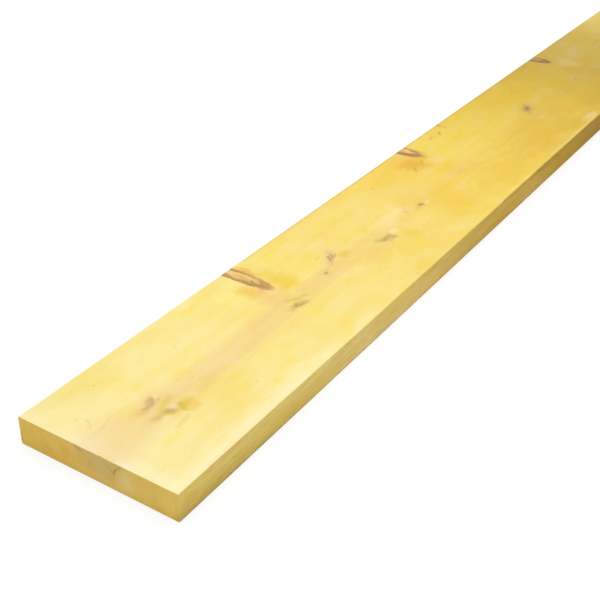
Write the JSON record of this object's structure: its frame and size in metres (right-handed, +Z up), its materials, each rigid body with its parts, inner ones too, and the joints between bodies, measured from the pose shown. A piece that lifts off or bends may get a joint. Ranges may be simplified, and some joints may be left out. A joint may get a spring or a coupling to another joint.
{
  "type": "timber plank",
  "caption": "Long flat planed softwood plank, rectangular in section, with eased long arrises and square-cut ends; stock to lay, fix or cut to length.",
  "frame": {"origin": "middle of the underside, half way along the length and half way across the width", "axes": "+X along the length, away from the end that has the drying check; +Y across the width, towards the edge where the spike knots run out; +Z up through the thickness, towards the face that carries the knots"},
  "size_m": [2.4, 0.225, 0.038],
  "materials": {
    "softwood": "planed, bare"
  },
  "bodies": {
    "root": {"plank": "softwood"}
  },
  "joints": []
}
